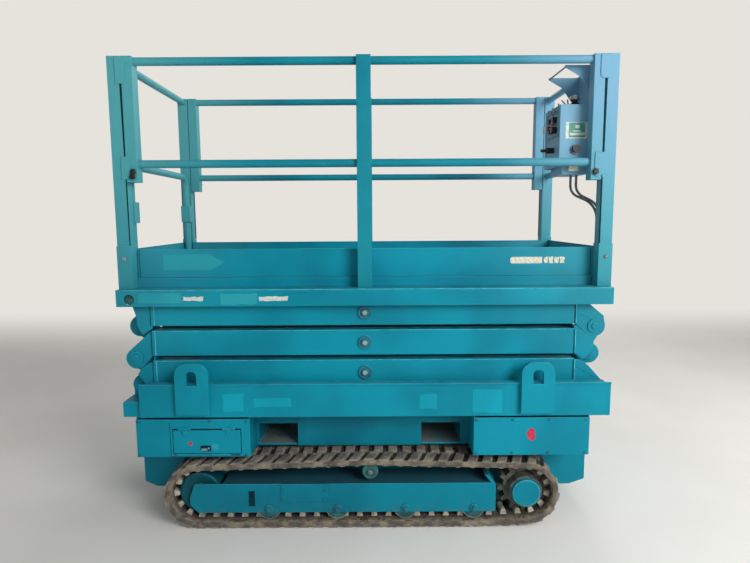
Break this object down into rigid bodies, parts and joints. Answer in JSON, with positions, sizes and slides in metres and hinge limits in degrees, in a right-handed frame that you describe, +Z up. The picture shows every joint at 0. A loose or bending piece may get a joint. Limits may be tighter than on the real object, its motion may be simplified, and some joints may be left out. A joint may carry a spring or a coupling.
{
  "type": "tracked scissor lift",
  "caption": "Crawler scissor lift with a guarded platform, folding rails, a three-stage scissor stack on a hydraulic cylinder and rubber tracks.",
  "frame": {"origin": "on the ground, at the middle of the machine's length and width", "axes": "+X towards the control end, +Y towards the far side, +Z up"},
  "size_m": [2.358, 1.138, 2.26],
  "materials": {
    "black_paint": "satin",
    "black_plastic": "moulded",
    "black_rubber": "smooth sheath",
    "bright_steel": "bare",
    "grey_blue_paint": "enamel paint, chalky",
    "roller_steel": "worn paint and rust",
    "rubber_track": "dusty rubber",
    "teal_paint": "enamel paint, scuffed"
  },
  "bodies": {
    "chassis": {"base_frame": "teal_paint", "base_floor": "teal_paint", "base_ends": "teal_paint", "base_channels": "teal_paint", "step_beam": "teal_paint", "pin_ears": "teal_paint", "lifting_lugs": "teal_paint", "hull": "teal_paint", "fork_pockets": "teal_paint", "left_box": "teal_paint", "right_box": "teal_paint", "power_pack": "black_paint", "battery": "black_plastic", "left_covers": "teal_paint", "right_covers": "teal_paint", "idlers": "roller_steel", "bottom_rollers": "roller_steel", "carrier_rollers": "roller_steel", "sprockets": "teal_paint", "track_frames": "teal_paint", "track_near": "rubber_track", "track_far": "rubber_track"},
    "inner_1": {"inner_arms_1": "teal_paint"},
    "outer_1": {"outer_arms_1": "teal_paint"},
    "inner_2": {"inner_arms_2": "teal_paint"},
    "outer_2": {"outer_arms_2": "teal_paint"},
    "inner_3": {"inner_arms_3": "teal_paint"},
    "outer_3": {"outer_arms_3": "teal_paint"},
    "platform": {"deck": "teal_paint", "deck_edges": "teal_paint", "deck_ribs": "teal_paint", "platform_channels": "teal_paint", "deck_ears": "teal_paint", "corner_posts": "teal_paint", "post_sockets": "teal_paint", "rail_straps": "teal_paint", "latch_knobs": "black_plastic", "guardrail_near": "teal_paint", "guardrail_far": "teal_paint", "end_rails": "teal_paint", "bar_sleeves": "teal_paint", "toe_boards": "teal_paint", "control_box": "grey_blue_paint", "box_bracket": "teal_paint", "control_levers": "bright_steel", "panel_switches": "black_plastic", "control_cables": "black_rubber"},
    "barrel": {"cylinder_barrel": "black_paint"},
    "rod": {"cylinder_rod": "bright_steel"},
    "base_roller": {"base_rollers": "bright_steel"},
    "platform_roller": {"platform_rollers": "bright_steel"},
    "door_near": {"door_near": "teal_paint"},
    "door_far": {"door_far": "teal_paint"},
    "entry_bar": {"entry_bar": "teal_paint"},
    "hood": {"hood": "grey_blue_paint"}
  },
  "joints": [
    {"name": "lift", "type": "hinge", "parent": "chassis", "child": "inner_1", "pos_m": [-1.115, 0, 0.695], "axis": [0, -1, 0], "range_deg": [0, 48]},
    {"name": "outer_1_turn", "type": "hinge", "parent": "inner_1", "child": "outer_1", "pos_m": [-0.0025, 0, 0.769], "axis": [0, -1, 0], "range_deg": [-96, 0]},
    {"name": "inner_2_turn", "type": "hinge", "parent": "inner_1", "child": "inner_2", "pos_m": [1.11, 0, 0.843], "axis": [0, -1, 0], "range_deg": [-96, 0]},
    {"name": "outer_2_turn", "type": "hinge", "parent": "inner_2", "child": "outer_2", "pos_m": [-0.0025, 0, 0.917], "axis": [0, -1, 0], "range_deg": [0, 96]},
    {"name": "inner_3_turn", "type": "hinge", "parent": "inner_2", "child": "inner_3", "pos_m": [-1.115, 0, 0.991], "axis": [0, -1, 0], "range_deg": [0, 96]},
    {"name": "outer_3_turn", "type": "hinge", "parent": "inner_3", "child": "outer_3", "pos_m": [-0.0025, 0, 1.065], "axis": [0, -1, 0], "range_deg": [-96, 0]},
    {"name": "platform_turn", "type": "hinge", "parent": "outer_3", "child": "platform", "pos_m": [-1.115, 0, 1.139], "axis": [0, -1, 0], "range_deg": [0, 48]},
    {"name": "barrel_tilt", "type": "hinge", "parent": "chassis", "child": "barrel", "pos_m": [-0.7, 0, 0.625], "axis": [0, -1, 0], "range_deg": [0, 58.92]},
    {"name": "rod_slide", "type": "slide", "parent": "barrel", "child": "rod", "axis": [0.9303, 0, 0.3667], "range_m": [0, 0.2995]},
    {"name": "base_roller_spin", "type": "hinge", "parent": "outer_1", "child": "base_roller", "pos_m": [1.11, 0, 0.695], "axis": [0, 1, 0], "continuous": true},
    {"name": "platform_roller_spin", "type": "hinge", "parent": "inner_3", "child": "platform_roller", "pos_m": [1.11, 0, 1.139], "axis": [0, 1, 0], "continuous": true},
    {"name": "door_near_hinge", "type": "hinge", "parent": "chassis", "child": "door_near", "pos_m": [-0.771, -0.5453, 0.508], "axis": [-1, 0, 0], "range_deg": [0, 88]},
    {"name": "door_far_hinge", "type": "hinge", "parent": "chassis", "child": "door_far", "pos_m": [-0.771, 0.5453, 0.508], "axis": [1, 0, 0], "range_deg": [0, 88]},
    {"name": "entry_bar_slide", "type": "slide", "parent": "platform", "child": "entry_bar", "axis": [0, 0, 1], "range_m": [0, 0.3]},
    {"name": "hood_hinge", "type": "hinge", "parent": "platform", "child": "hood", "pos_m": [1.102, -0.285, 2.05], "axis": [0, -1, 0], "range_deg": [0, 45]}
  ],
  "couplings": [
    {"joint": "outer_1_turn", "follows": "lift", "ratio": -2},
    {"joint": "inner_2_turn", "follows": "lift", "ratio": -2},
    {"joint": "outer_2_turn", "follows": "lift", "ratio": 2},
    {"joint": "inner_3_turn", "follows": "lift", "ratio": 2},
    {"joint": "outer_3_turn", "follows": "lift", "ratio": -2},
    {"joint": "platform_turn", "follows": "lift", "ratio": 1},
    {"joint": "barrel_tilt", "follows": "lift", "ratio": 1.2272},
    {"joint": "rod_slide", "follows": "lift", "m_per_rad": 0.35744}
  ]
}
